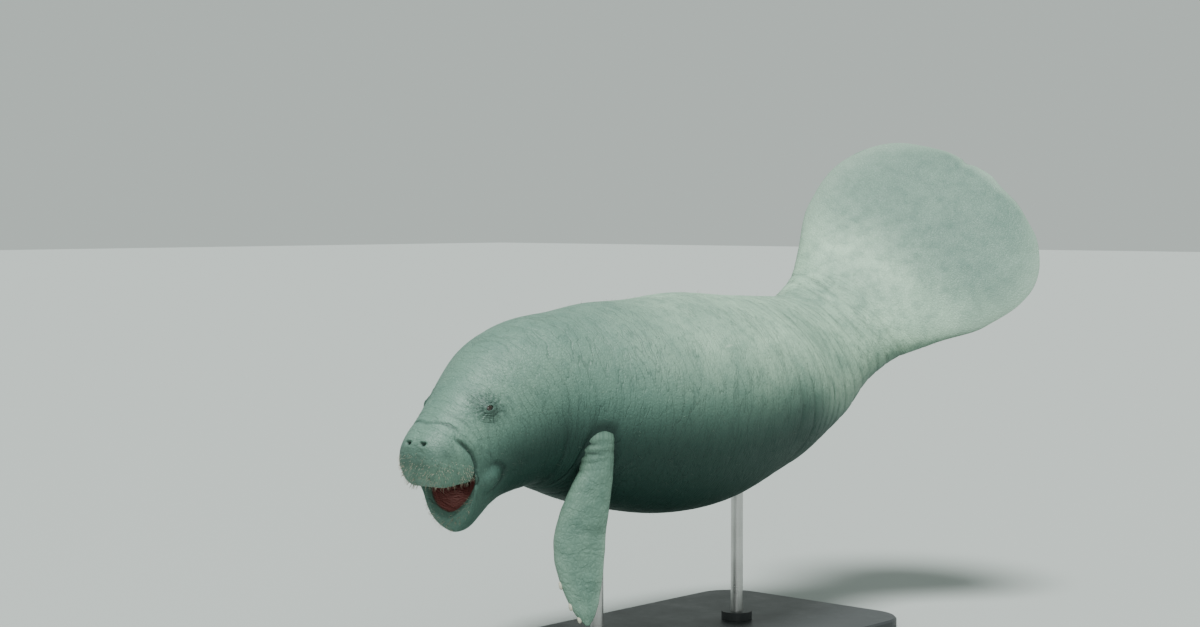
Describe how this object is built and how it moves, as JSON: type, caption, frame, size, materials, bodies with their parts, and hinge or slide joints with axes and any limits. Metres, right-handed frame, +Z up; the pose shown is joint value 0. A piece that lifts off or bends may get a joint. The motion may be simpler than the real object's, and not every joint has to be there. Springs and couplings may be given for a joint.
{
  "type": "manatee",
  "caption": "Life-size manatee swimming with its head low and its tail paddle raised and twisted, on a flat base with two rods.",
  "frame": {"origin": "centre of the stand base's underside, on the floor", "axes": "+Z up; the head points to -X; the animal's left side faces -Y"},
  "size_m": [2.4661, 0.9654, 1.5509],
  "materials": {
    "skin": "matte grey-green skin, finely wrinkled",
    "eye": "glossy dark brown",
    "nail": "satin pale horn",
    "stand_paint": "satin dark grey paint",
    "stand_steel": "brushed"
  },
  "bodies": {
    "root": {"head": "skin", "muzzle": "skin", "lower_jaw": "skin", "neck": "skin", "chest": "skin", "belly": "skin", "loin": "skin", "tail_stock": "skin", "tail_paddle": "skin", "flipper_left": "skin", "flipper_right": "skin", "eye_left": "eye", "eye_right": "eye", "nail_left_1": "nail", "nail_left_2": "nail", "nail_left_3": "nail", "nail_right_1": "nail", "nail_right_2": "nail", "nail_right_3": "nail", "stand_base": "stand_paint", "stand_rod_front": "stand_steel", "stand_rod_rear": "stand_steel", "stand_collar_front": "stand_paint", "stand_collar_rear": "stand_paint"}
  },
  "joints": []
}
